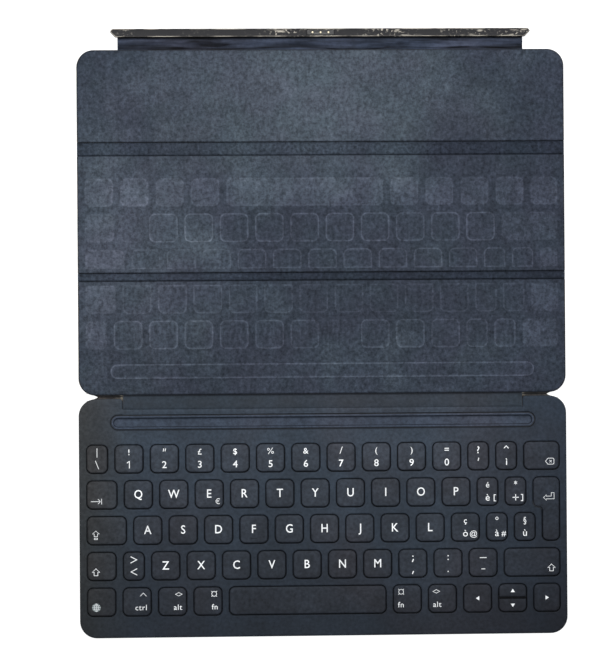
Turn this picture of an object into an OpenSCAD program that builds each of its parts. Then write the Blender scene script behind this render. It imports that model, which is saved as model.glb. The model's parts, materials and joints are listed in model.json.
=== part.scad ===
// Folding keyboard case for a 10.5 inch class tablet, lying open and flat.
// X runs along the rows of keys, Y from the user towards the connector bar, Z up.
// The origin is at the middle of the footprint, on the surface that the case lies on.

/* [Case] */
// Width of the case, a little more than the long side of the tablet
case_w = 251.8; // [240:0.1:262]
// Radius of the outer corners
corner_r = 8.8; // [6:0.1:12]

/* [Keyboard panel] */
// Depth of the keyboard panel, front edge to back edge
deck_d = 123; // [121:0.1:128]
// Height of the deck, without the keys
deck_t = 3.4; // [3.2:0.1:4.5]
// Distance from the back edge to the stiff core, where the soft fold begins
soft_edge_d = 5.5; // [5:0.1:6]
// Wall of the woven skin round the edge
skin_wall = 0.8; // [0.6:0.1:1.2]

/* [Keys] */
// Width and depth of a letter key
key_w = 14.2; // [13.6:0.1:14.6]
// Width of the narrow keys at the ends of the rows
narrow_w = 10.5; // [10:0.1:11]
// Gap between neighbouring keys
key_gap = 4; // [3.6:0.1:4.4]
// Distance between rows
row_pitch = 18.37; // [18:0.01:18.8]
// Distance from the front edge to the middle of the space row
first_row_d = 18.6; // [12:0.1:22]
// Margin beside the rows of keys
side_margin = 4.1; // [3:0.1:5]
// Radius of a key's corners
key_r = 2.8; // [1:0.1:3.2]
// Height of the key tops above the deck
key_rise = 0.6; // [0.3:0.1:1]
// Travel of a key
key_travel = 1; // [0.6:0.1:1]
// Clearance round a key
key_clearance = 0.35; // [0.3:0.01:0.5]

/* [Tablet groove] */
// Length of the raised rim of the groove
rail_w = 218.2; // [200:0.1:220]
// Width of the rim, outside
rail_d = 6.9; // [6.5:0.1:8]
// Wall of the rim
rail_wall = 1.15; // [0.8:0.01:1.2]
// Distance from the back edge of the panel to the middle of the groove
rail_back_d = 12.2; // [12:0.1:14]
// Height of the rim above the deck
rail_rise = 0.4; // [0.2:0.1:0.5]

/* [Cover] */
// Thickness of the cover
cover_t = 2.2; // [2:0.1:2.8]
// Gap between the keyboard panel and the cover
fold_gap = 1.8; // [1.6:0.1:3]
// Depth of the panel beside the keyboard
lower_panel_d = 58.6; // [50:0.1:65]
// Width of the fold between the lower and the middle panel
lower_fold_w = 4.3; // [4.3:0.1:6]
// Depth of the middle panel
middle_panel_d = 60.3; // [50:0.1:65]
// Width of the fold between the middle and the upper panel
upper_fold_w = 7; // [5:0.1:8]
// Depth of the panel beside the connector bar
upper_panel_d = 47.6; // [44:0.1:50]
// Length of the soft fold beside the keyboard, between its two side notches
fold_band_w = 206.6; // [190:0.1:220]

/* [Connector] */
// Width of the flexible strip that holds the bar
strip_w = 209.4; // [200:0.1:214]
// Free length of the strip, from cover to bar
strip_d = 6.5; // [6:0.1:8]
// Length of the connector bar
bar_w = 216.7; // [214:0.1:222]
// Width of the bar's contact face
bar_d = 4.3; // [4:0.1:5]
// Thickness of the bar
bar_t = 3; // [2.6:0.1:3]
// Distance between neighbouring contact pins
pin_pitch = 4.1; // [3.5:0.1:4.5]
// Radius of a contact pin
pin_r = 0.6; // [0.4:0.05:0.8]

/* [Hidden] */
// Y of each edge, counted from the front
front_y = -(deck_d + fold_gap + lower_panel_d + lower_fold_w + middle_panel_d
    + upper_fold_w + upper_panel_d + strip_d + bar_d) / 2;
deck_back_y = front_y + deck_d;
core_back_y = deck_back_y - soft_edge_d;
lower_y = deck_back_y + fold_gap;
lower_fold_y = lower_y + lower_panel_d;
middle_y = lower_fold_y + lower_fold_w;
upper_fold_y = middle_y + middle_panel_d;
upper_y = upper_fold_y + upper_fold_w;
strip_y = upper_y + upper_panel_d;
bar_y = strip_y + strip_d;
rail_y = deck_back_y - rail_back_d;
edge_x = case_w / 2;

// Heights of the layers inside the keyboard panel
back_skin_t = 0.4;
base_top = 1;
circuit_top = 1.25;
top_skin_t = 0.5;
chassis_top = deck_t - top_skin_t;
key_bottom = circuit_top + key_travel + 0.1;
key_top = deck_t + key_rise;
rail_bottom = 1.9;
groove_floor = 2.6;
core_gap = 0.2;
dome_r = 2.6;

// Controller board between the number row and the groove
board_w = 70;
board_d = 5.4;
board_t = 0.6;
board_y = rail_y - rail_d / 2 - 0.7 - board_d / 2;
chip_t = 0.8;
pocket_gap = 0.2;

// Layers of the cover
cover_skin_t = 0.35;
cover_wall = 0.7;
core_top = cover_t - 0.5;
core_inset = 0.9;
core_setback = 0.6;
fold_band_t = 0.9;
strip_t = 0.6;
strip_z = 0.1;

// Woven ribbon that carries power and data to the connector
ribbon_w = 10;
ribbon_t = 0.25;

// Magnets
rail_magnet = [14, 4.2, 0.6];
rail_magnet_count = 12;
panel_magnet = [22, 6, 0.8];
panel_magnet_xs = [-100, -60, 60, 100];
bar_magnet = [24, 2.4, 1.6];
bar_magnet_xs = [-88, -50, 50, 88];

// Connector bar
bar_back_t = 0.5;
bar_end_slant = 2.6;
bar_end_round = 1.7;
carrier = [14, 2.6];
pin_count = 3;
pin_foot_z = 0.8;

// Key rows from the number row to the space row. Each entry is the node that the key
// belongs to and its width; the last key of a row fills what is left.
columns = 10;
field_w = case_w - 2 * side_margin;
arrow_right_w = 13.4;
space_w = field_w - 8 * key_w - arrow_right_w - 9 * key_gap;
letters = [for (c = [1:columns]) [str("key_column_", c), key_w]];
outer_letters = [["key_column_11", narrow_w], ["key_column_11", narrow_w]];
key_rows = [
    concat([["key_column_1", narrow_w]], letters, outer_letters, [["key_delete", 0]]),
    concat([["key_tab", 15.2]], letters, outer_letters, [["key_return", 0]]),
    concat([["key_caps", 19.9]], letters, outer_letters, [["key_return", 0]]),
    concat([["key_shift_left", 14.5], ["key_column_1", narrow_w]], letters,
        [["key_shift_right", 0]]),
    [["key_language", key_w], ["key_control", key_w], ["key_alt_left", key_w],
        ["key_command_left", key_w], ["key_space", space_w], ["key_command_right", key_w],
        ["key_alt_right", key_w], ["key_arrow_left", key_w], ["key_arrow_up", key_w],
        ["key_arrow_right", 0]]
];
last_row = len(key_rows) - 1;
return_row = 2;
arrow_place = 8;
arrow_gap = 0.9;
square_r = 0.4;

SPECIAL_KEYS = ["key_delete", "key_tab", "key_return", "key_caps", "key_shift_left",
    "key_shift_right", "key_language", "key_control", "key_alt_left", "key_command_left",
    "key_space", "key_command_right", "key_alt_right", "key_arrow_left", "key_arrow_up",
    "key_arrow_down", "key_arrow_right"];
COLUMN_KEYS = [for (c = [1:columns + 1]) str("key_column_", c)];
KEY_NODES = concat(SPECIAL_KEYS, COLUMN_KEYS);

deck_colour = [0.15, 0.17, 0.2];
key_colour = [0.17, 0.19, 0.23];
lining_colour = [0.2, 0.23, 0.28];
skin_colour = [0.13, 0.14, 0.16];

// ---- Outlines

corner_steps = 6;
function arc(x, y, r, from, sweep = 90) =
    [for (i = [0:corner_steps]) let (a = from + sweep * i / corner_steps)
        [x + r * cos(a), y + r * sin(a)]];

// Anticlockwise outline through right-angled corners [x, y, radius]. Grow moves every edge
// outwards, and an inner corner's arc turns the other way.
function outline(corners, grow) = [
    for (i = [0:len(corners) - 1])
        let (
            c = corners[i],
            into = c - corners[(i + len(corners) - 1) % len(corners)],
            onward = corners[(i + 1) % len(corners)] - c,
            a = [sign(into[0]), sign(into[1])],
            b = [sign(onward[0]), sign(onward[1])],
            turn = cross(a, b),
            out = [a[1] + b[1], -a[0] - b[0]],
            r = c[2] + turn * grow,
            x = c[0] + (grow - turn * r) * out[0],
            y = c[1] + (grow - turn * r) * out[1]
        )
        each arc(x, y, turn * r, atan2(-a[0], a[1]), turn * 90)
];
function rounded_box(x0, y0, x1, y1, r) =
    outline([[x0, y0, r], [x1, y0, r], [x1, y1, r], [x0, y1, r]], 0);

module between(z0, z1) {
    translate([0, 0, z0]) linear_extrude(z1 - z0) children();
}

// Keyboard panel, with the notch for the soft fold in its back edge
module deck_outline(inset) {
    difference() {
        polygon(rounded_box(inset - edge_x, front_y + inset, edge_x - inset,
            deck_back_y - inset, corner_r - inset));
        translate([-fold_band_w / 2 - inset, core_back_y - inset])
            square([fold_band_w + 2 * inset, 2 * soft_edge_d]);
    }
}

// The whole cover between two heights, cut to one panel's stretch of Y
module cover_slice(inset, z0, z1, y0, y1) {
    intersection() {
        between(z0, z1) polygon(rounded_box(inset - edge_x, lower_y + inset,
            edge_x - inset, strip_y - inset, corner_r - inset));
        translate([-edge_x, y0, z0]) cube([case_w, y1 - y0, z1 - z0]);
    }
}

module slot_outline(inset) {
    polygon(rounded_box(inset - rail_w / 2, rail_y - rail_d / 2 + inset,
        rail_w / 2 - inset, rail_y + rail_d / 2 - inset, rail_d / 2 - inset));
}

module block(size, x, y, z) {
    translate([x - size[0] / 2, y - size[1] / 2, z]) cube(size);
}

// ---- Keys

function sum_to(row, i) = i < 0 ? 0 : row[i][1] + sum_to(row, i - 1);
function key_left(row, i) = -field_w / 2 + sum_to(row, i - 1) + i * key_gap;
function key_right(row, i) =
    i == len(row) - 1 ? field_w / 2 : key_left(row, i) + row[i][1];
function row_y(r) = front_y + first_row_d + (last_row - r) * row_pitch;
function row_front(r) = row_y(r) - key_w / 2;
function row_back(r) = row_y(r) + key_w / 2;
function key_corners(x0, y0, x1, y1) =
    [[x0, y0, key_r], [x1, y0, key_r], [x1, y1, key_r], [x0, y1, key_r]];

// The return key fills the ends of two rows, and its upper half is wider
return_left = [for (r = [return_row - 1, return_row])
    key_left(key_rows[r], len(key_rows[r]) - 1)];
return_corners = [
    [return_left[1], row_front(return_row), key_r],
    [field_w / 2, row_front(return_row), key_r],
    [field_w / 2, row_back(return_row - 1), key_r],
    [return_left[0], row_back(return_row - 1), key_r],
    [return_left[0], row_front(return_row - 1), key_r - 0.2],
    [return_left[1], row_front(return_row - 1), key_r - 0.7]
];

// Up and down are half keys that share one place, with square corners where they meet
arrow_x = key_left(key_rows[last_row], arrow_place);
arrow_place_corners =
    key_corners(arrow_x, row_front(last_row), arrow_x + key_w, row_back(last_row));
function half_key(y0, y1, front_r, back_r) = [[arrow_x, y0, front_r],
    [arrow_x + key_w, y0, front_r], [arrow_x + key_w, y1, back_r], [arrow_x, y1, back_r]];

// Every key as its node and its corners
keys = concat(
    [for (r = [0:last_row]) for (i = [0:len(key_rows[r]) - 1])
        let (row = key_rows[r], owner = row[i][0])
            if (owner != "key_return" && owner != "key_arrow_up")
                [owner, key_corners(key_left(row, i), row_front(r),
                    key_right(row, i), row_back(r))]],
    [
        ["key_return", return_corners],
        ["key_arrow_up", half_key(row_y(last_row) + arrow_gap / 2, row_back(last_row),
            square_r, key_r)],
        ["key_arrow_down", half_key(row_front(last_row), row_y(last_row) - arrow_gap / 2,
            key_r, square_r)]
    ]);

module key_outline(k, grow) {
    polygon(outline(k[1], grow));
}

module key_holes() {
    for (k = keys) key_outline(k, key_clearance);
    polygon(outline(arrow_place_corners, key_clearance));
}

// One key, or the keys of one finger column, which travel together
module key_set(owner) {
    color(key_colour) between(key_bottom, key_top)
        for (k = keys) if (k[0] == owner) key_outline(k, 0);
}

// ---- Keyboard panel

module keyboard_back_skin() {
    color(skin_colour) {
        between(0, back_skin_t) deck_outline(0);
        between(back_skin_t, chassis_top) difference() {
            deck_outline(0);
            deck_outline(skin_wall);
        }
    }
}

module keyboard_base_plate() {
    color("silver") between(back_skin_t, base_top) deck_outline(skin_wall + core_gap);
}

module key_circuit_sheet() {
    color("darkgoldenrod") between(base_top, circuit_top) {
        translate([-field_w / 2, row_front(last_row) - 2])
            square([field_w, row_back(0) - row_front(last_row) + 4]);
        translate([-ribbon_w / 2, row_y(0)])
            square([ribbon_w, core_back_y - skin_wall - core_gap - row_y(0)]);
    }
}

module dome_switches() {
    color("dimgray") for (k = keys)
        translate([(k[1][0][0] + k[1][1][0]) / 2, (k[1][1][1] + k[1][2][1]) / 2, circuit_top])
            cylinder(r = dome_r, h = key_bottom - circuit_top, $fn = 12);
}

module chassis_frame() {
    color("gray") difference() {
        between(circuit_top, chassis_top) difference() {
            deck_outline(skin_wall + core_gap);
            key_holes();
        }
        between(rail_bottom, deck_t) slot_outline(0);
        for (x = rail_magnet_xs) block(rail_magnet + [pocket_gap, pocket_gap, pocket_gap],
            x, rail_y, circuit_top);
        block([board_w + pocket_gap, board_d + pocket_gap, deck_t], 0, board_y, circuit_top);
    }
}

module keyboard_top_skin() {
    color(deck_colour) between(chassis_top, deck_t) difference() {
        deck_outline(0);
        key_holes();
        slot_outline(0);
    }
}

module tablet_rail() {
    color([0.22, 0.24, 0.28]) {
        between(rail_bottom, groove_floor) slot_outline(0);
        between(groove_floor, deck_t + rail_rise) difference() {
            slot_outline(0);
            slot_outline(rail_wall);
        }
    }
}

rail_magnet_step = (rail_w - rail_d - rail_magnet[0]) / (rail_magnet_count - 1);
rail_magnet_xs = [for (i = [0:rail_magnet_count - 1])
    (i - (rail_magnet_count - 1) / 2) * rail_magnet_step];

module rail_magnets() {
    color("lightgray") for (x = rail_magnet_xs) block(rail_magnet, x, rail_y, circuit_top);
}

module controller_board() {
    color("darkgreen") block([board_w, board_d, board_t], 0, board_y, circuit_top);
}

module controller_chips() {
    color("black") {
        block([5, 4, chip_t], -22, board_y, circuit_top + board_t);
        block([7, 4.4, chip_t], 0, board_y, circuit_top + board_t);
        block([3, 3, chip_t], 14, board_y, circuit_top + board_t);
        block([12, 3.6, chip_t], 27, board_y, circuit_top + board_t);
    }
}

// ---- Cover

// Woven outer skin, turned up round the outer edge of the cover only
module panel_skin(y0, y1) {
    color(skin_colour) {
        cover_slice(0, 0, cover_skin_t, y0, y1);
        difference() {
            cover_slice(0, cover_skin_t, cover_t, y0, y1);
            cover_slice(cover_wall, 0, 2 * cover_t, y0, y1);
        }
    }
}

// Stiff core sheet, with a channel below it for the ribbon
module panel_board(y0, y1) {
    color("tan") difference() {
        cover_slice(core_inset, cover_skin_t, core_top, y0 + core_setback, y1 - core_setback);
        translate([-ribbon_w / 2 - pocket_gap, y0, 0])
            cube([ribbon_w + 2 * pocket_gap, y1 - y0, cover_skin_t + ribbon_t + pocket_gap / 2]);
    }
}

module panel_lining(y0, y1) {
    color(lining_colour) cover_slice(cover_wall, core_top, cover_t, y0, y1);
}

module panel_ribbon(y0, y1) {
    color("goldenrod") translate([-ribbon_w / 2, y0 + cover_wall, cover_skin_t])
        cube([ribbon_w, y1 - y0 - 2 * cover_wall, ribbon_t]);
}

module lower_panel_skin() { panel_skin(lower_y, lower_fold_y); }
module lower_panel_board() { panel_board(lower_y, lower_fold_y); }
module lower_panel_lining() { panel_lining(lower_y, lower_fold_y); }
module lower_panel_ribbon() { panel_ribbon(lower_y, lower_fold_y); }
module middle_panel_skin() { panel_skin(middle_y, upper_fold_y); }
module middle_panel_board() { panel_board(middle_y, upper_fold_y); }
module middle_panel_lining() { panel_lining(middle_y, upper_fold_y); }
module middle_panel_ribbon() { panel_ribbon(middle_y, upper_fold_y); }
module upper_panel_skin() { panel_skin(upper_y, strip_y); }
module upper_panel_lining() { panel_lining(upper_y, strip_y); }
module upper_panel_ribbon() { panel_ribbon(upper_y, strip_y); }

panel_magnet_y = strip_y - 8;
panel_magnet_z = core_top - panel_magnet[2];

module upper_panel_board() {
    difference() {
        panel_board(upper_y, strip_y);
        for (x = panel_magnet_xs)
            block(panel_magnet + [pocket_gap, pocket_gap, 1], x, panel_magnet_y, panel_magnet_z);
    }
}

module upper_panel_magnets() {
    color("lightgray") for (x = panel_magnet_xs)
        block(panel_magnet, x, panel_magnet_y, panel_magnet_z);
}

// ---- Folds

// Soft skin that runs from the deck down to the edge of the cover
module keyboard_fold_band() {
    slope_y = deck_back_y - core_back_y;
    profile = [[core_back_y, 0], [lower_y, 0], [lower_y, cover_t],
        [core_back_y + slope_y / 3, deck_t], [core_back_y, deck_t]];
    color(deck_colour) translate([-fold_band_w / 2, 0, 0])
        rotate([90, 0, 90]) linear_extrude(fold_band_w) polygon(profile);
}

module flat_band(y, d) {
    color(lining_colour) translate([-edge_x, y, 0]) cube([case_w, d, fold_band_t]);
}

module lower_fold_band() { flat_band(lower_fold_y, lower_fold_w); }
module upper_fold_band() { flat_band(upper_fold_y, upper_fold_w); }

module connector_strip() {
    color(skin_colour) translate([-strip_w / 2, strip_y, strip_z])
        cube([strip_w, strip_d, strip_t]);
}

// ---- Connector bar

// Round back corners, and ends that slant in towards the strip
module bar_outline() {
    r = bar_end_round;
    back = bar_y + bar_d;
    half = bar_w / 2;
    polygon(concat(
        [[bar_end_slant - half, bar_y], [half - bar_end_slant, bar_y]],
        arc(half - r, back - r, r, 0),
        arc(r - half, back - r, r, 90)));
}

module connector_bar_shell() {
    color(skin_colour) difference() {
        between(bar_back_t, bar_t) bar_outline();
        for (x = bar_magnet_xs)
            block(bar_magnet + [pocket_gap, pocket_gap, pocket_gap], x, bar_y + bar_d / 2, bar_back_t);
        block([carrier[0], carrier[1], bar_t], 0, bar_y + bar_d / 2, bar_back_t);
    }
}

module connector_bar_back() {
    color("dimgray") between(0, bar_back_t) bar_outline();
}

module connector_bar_magnets() {
    color("lightgray") for (x = bar_magnet_xs)
        block(bar_magnet, x, bar_y + bar_d / 2, bar_back_t);
}

pin_xs = [for (i = [0:pin_count - 1]) (i - (pin_count - 1) / 2) * pin_pitch];

module contact_carrier() {
    color("black") difference() {
        block([carrier[0], carrier[1], bar_t - bar_back_t], 0, bar_y + bar_d / 2, bar_back_t);
        for (x = pin_xs) translate([x, bar_y + bar_d / 2, pin_foot_z])
            cylinder(r = pin_r, h = bar_t, $fn = 48);
    }
}

module contact_pins() {
    color("gold") for (x = pin_xs) translate([x, bar_y + bar_d / 2, pin_foot_z])
        cylinder(r = pin_r, h = bar_t - pin_foot_z, $fn = 48);
}

keyboard_back_skin();
keyboard_base_plate();
key_circuit_sheet();
dome_switches();
chassis_frame();
keyboard_top_skin();
tablet_rail();
rail_magnets();
controller_board();
controller_chips();
lower_panel_skin();
lower_panel_board();
lower_panel_lining();
lower_panel_ribbon();
middle_panel_skin();
middle_panel_board();
middle_panel_lining();
middle_panel_ribbon();
upper_panel_skin();
upper_panel_board();
upper_panel_lining();
upper_panel_ribbon();
upper_panel_magnets();
keyboard_fold_band();
lower_fold_band();
upper_fold_band();
connector_strip();
connector_bar_shell();
connector_bar_back();
connector_bar_magnets();
contact_carrier();
contact_pins();
for (key = KEY_NODES) key_set(key);
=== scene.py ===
"""Folding keyboard case for a tablet, lying open and flat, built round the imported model.

Shapes are worked out in millimetres in the row frame and written to the meshes in metres.
"""

import json
import math
import random

import bmesh
import bpy
import numpy as np
from mathutils import Matrix, Vector, noise
from mathutils.geometry import delaunay_2d_cdt


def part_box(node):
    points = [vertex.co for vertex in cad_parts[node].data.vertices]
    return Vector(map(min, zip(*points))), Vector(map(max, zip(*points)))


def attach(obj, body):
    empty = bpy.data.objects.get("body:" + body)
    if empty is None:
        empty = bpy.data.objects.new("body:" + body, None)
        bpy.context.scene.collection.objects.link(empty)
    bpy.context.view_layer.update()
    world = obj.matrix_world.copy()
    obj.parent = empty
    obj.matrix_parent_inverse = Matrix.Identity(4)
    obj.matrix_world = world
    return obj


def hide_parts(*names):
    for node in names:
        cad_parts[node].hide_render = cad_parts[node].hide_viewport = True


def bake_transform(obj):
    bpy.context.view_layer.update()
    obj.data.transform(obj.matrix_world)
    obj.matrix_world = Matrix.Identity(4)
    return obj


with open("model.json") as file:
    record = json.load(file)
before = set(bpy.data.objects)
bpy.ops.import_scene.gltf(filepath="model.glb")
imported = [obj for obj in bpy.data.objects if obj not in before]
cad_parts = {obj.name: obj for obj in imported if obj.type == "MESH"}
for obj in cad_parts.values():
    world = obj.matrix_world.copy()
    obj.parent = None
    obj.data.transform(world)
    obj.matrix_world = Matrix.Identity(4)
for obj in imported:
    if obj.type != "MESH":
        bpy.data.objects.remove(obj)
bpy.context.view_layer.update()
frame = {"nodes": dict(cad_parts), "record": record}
rng = random.Random(11)

MM = 0.001
SHARP_ANGLE = 40


def box(node):
    """Lowest and highest corner of a CAD node, in millimetres."""
    lo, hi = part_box(node)
    return lo / MM, hi / MM


# ---- Places that the CAD model gives

deck_lo, deck_hi = box("keyboard_top_skin")
band_lo, band_hi = box("keyboard_fold_band")
rail_lo, rail_hi = box("tablet_rail")
strip_lo, strip_hi = box("connector_strip")
shell_lo, shell_hi = box("connector_bar_shell")
carrier_lo, carrier_hi = box("contact_carrier")
pins_lo, pins_hi = box("contact_pins")
lower_lo, lower_hi = box("lower_panel_skin")
middle_lo, middle_hi = box("middle_panel_skin")
upper_lo, upper_hi = box("upper_panel_skin")
half_width = deck_hi.x
cover_top = lower_hi.z
corner_radius = 8.8
key_radius = 2.8
fold_y = (deck_hi.y + lower_lo.y) / 2


# ---- Outlines: anticlockwise, seen from above

def outline(corners, grow=0.0, steps=8):
    """Points round right-angled corners (x, y, radius), with every edge moved outwards by grow,
    or each edge by its own."""
    count = len(corners)
    grows = [grow] * count if isinstance(grow, (int, float)) else grow
    points = []
    for i, (x, y, r) in enumerate(corners):
        before, after = corners[i - 1], corners[(i + 1) % count]
        a = (np.sign(round(x - before[0], 6)), np.sign(round(y - before[1], 6)))
        b = (np.sign(round(after[0] - x, 6)), np.sign(round(after[1] - y, 6)))
        turn = a[0] * b[1] - a[1] * b[0]
        g, h = grows[i - 1], grows[i]
        radius = turn * max(r + turn * (g + h) / 2, 0.03)
        mid_x = x + a[1] * g + b[1] * h - radius * (a[1] + b[1])
        mid_y = y - a[0] * g - b[0] * h + radius * (a[0] + b[0])
        start = math.atan2(-a[0], a[1])
        for s in range(steps + 1):
            t = start + turn * math.pi / 2 * s / steps
            points.append((mid_x + radius * math.cos(t), mid_y + radius * math.sin(t)))
    return points


def box_corners(x0, y0, x1, y1, front=key_radius, back=None):
    back = front if back is None else back
    return [(x0, y0, front), (x1, y0, front), (x1, y1, back), (x0, y1, back)]


def shrink(points, inset):
    """The outline moved inwards along its normals, also where it isn't right-angled."""
    p = np.array(points)
    along = np.roll(p, -1, 0) - np.roll(p, 1, 0)
    along /= np.linalg.norm(along, axis=1)[:, None]
    return [tuple(q) for q in p + inset * np.stack([-along[:, 1], along[:, 0]], 1)]


def inside(points, polygon):
    """Which of the points are inside the polygon."""
    p, q = np.asarray(points, float), np.asarray(polygon, float)
    ax, ay = q[:, 0], q[:, 1]
    bx, by = np.roll(ax, -1), np.roll(ay, -1)
    x, y = p[:, :1], p[:, 1:2]
    crosses = (ay > y) != (by > y)
    step = np.where(by == ay, 1e-12, by - ay)
    return (np.where(crosses, x < (bx - ax) * (y - ay) / step + ax, False).sum(1) % 2).astype(bool)


def wander(x, y, size, depth, seed=0.0):
    """Gentle unevenness: bumps of about that size and depth."""
    return depth * noise.noise(Vector((x / size, y / size, seed)))


def smooth(t):
    t = min(max(t, 0.0), 1.0)
    return t * t * (3 - 2 * t)


# ---- Meshes

class Surface:
    """Points and faces in millimetres. Each point has a mark, which the material reads: rubbed
    wear where it is up, painted crease shade where it is below zero.
    """

    def __init__(self):
        self.points, self.faces, self.marks = [], [], []

    def add(self, x, y, z, mark=0.0):
        self.points.append((x, y, z))
        self.marks.append(mark)
        return len(self.points) - 1

    def ring(self, points, z, mark=0.0):
        height = z if callable(z) else lambda x, y: z
        shade = mark if callable(mark) else lambda x, y: mark
        return [self.add(x, y, height(x, y), shade(x, y)) for x, y in points]

    def strip(self, a, b):
        """Quads from ring a to ring b, which lies inside it or above it."""
        for i in range(len(a)):
            j = (i + 1) % len(a)
            self.faces.append((a[i], a[j], b[j], b[i]))

    def loft(self, rings):
        for a, b in zip(rings, rings[1:]):
            self.strip(a, b)
        return rings[-1]

    def solid(self, rings):
        """A closed body, from the lowest ring up."""
        self.loft(rings)
        self.fill(rings[-1])
        self.fill(rings[0], down=True)

    def fill(self, outer, holes=(), down=False, spacing=None, z=None, mark=0.0):
        """Triangles between a ring and the rings inside it. With a spacing, over a grid of points
        whose height z gives."""
        loops = [outer, *holes]
        flat = [i for loop in loops for i in loop]
        points = [self.points[i][:2] for i in flat]
        edges, at = [], 0
        for loop in loops:
            edges += [(at + k, at + (k + 1) % len(loop)) for k in range(len(loop))]
            at += len(loop)
        polygons = [np.array([self.points[i][:2] for i in loop]) for loop in loops]
        index = list(flat)
        if spacing:
            lo, hi = polygons[0].min(0), polygons[0].max(0)
            counts = [max(2, int(round((hi[k] - lo[k]) / spacing))) for k in (0, 1)]
            xs, ys = (np.linspace(lo[k], hi[k], counts[k] + 1)[1:-1] for k in (0, 1))
            grid = np.array([(x, y) for x in xs for y in ys])
            if len(grid):
                ok = inside(grid, polygons[0])
                for polygon in polygons[1:]:
                    ok &= ~inside(grid, polygon)
                near = np.array(points)
                for k, (x, y) in enumerate(grid):
                    if ok[k] and ((near - (x, y)) ** 2).sum(1).min() > (spacing * 0.3) ** 2:
                        points.append((x, y))
                        index.append(self.add(x, y, z(x, y) if callable(z) else z, mark))
        made = delaunay_2d_cdt([Vector(p) for p in points], edges, [], 0, 1e-5)
        new = []
        for k, p in enumerate(made[0]):
            first = made[3][k]
            new.append(index[first[0]] if first else None)
        middles = np.array([np.mean([made[0][i] for i in f], 0) for f in made[2]])
        ok = inside(middles, polygons[0])
        for polygon in polygons[1:]:
            ok &= ~inside(middles, polygon)
        for f, good in zip(made[2], ok):
            corners = [new[i] for i in f]
            if good and None not in corners:
                self.faces.append(tuple(corners[::-1] if down else corners))

    def make(self, name, body, look, slot, replaces=(), blend=None):
        mesh = bpy.data.meshes.new(name)
        mesh.from_pydata([tuple(c * MM for c in p) for p in self.points], [], self.faces)
        mesh.attributes.new("mark", "FLOAT", "POINT").data.foreach_set("value", self.marks)
        bm = bmesh.new()
        bm.from_mesh(mesh)
        bmesh.ops.remove_doubles(bm, verts=bm.verts, dist=2e-6)
        bmesh.ops.recalc_face_normals(bm, faces=bm.faces)
        bm.to_mesh(mesh)
        bm.free()
        mesh.shade_smooth()
        mesh.set_sharp_from_angle(angle=math.radians(SHARP_ANGLE))
        mesh.materials.append(look)
        o = bpy.data.objects.new(name, mesh)
        bpy.context.scene.collection.objects.link(o)
        if blend:
            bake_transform(o)
        else:
            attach(o, body)
        if replaces:
            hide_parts(*replaces)
        return o


# ---- Materials

def add(tree, kind, inputs=None, **settings):
    node = tree.nodes.new("ShaderNode" + kind)
    for key, value in settings.items():
        setattr(node, key, value)
    for key, value in (inputs or {}).items():
        if isinstance(value, bpy.types.NodeSocket):
            tree.links.new(value, node.inputs[key])
        else:
            node.inputs[key].default_value = value
    return node


def colour(*rgb):
    """A linear colour from 0 to 255 screen values."""
    channel = [c / 255 for c in rgb]
    return (*(c / 12.92 if c <= 0.04045 else ((c + 0.055) / 1.055) ** 2.4 for c in channel), 1)


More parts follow.
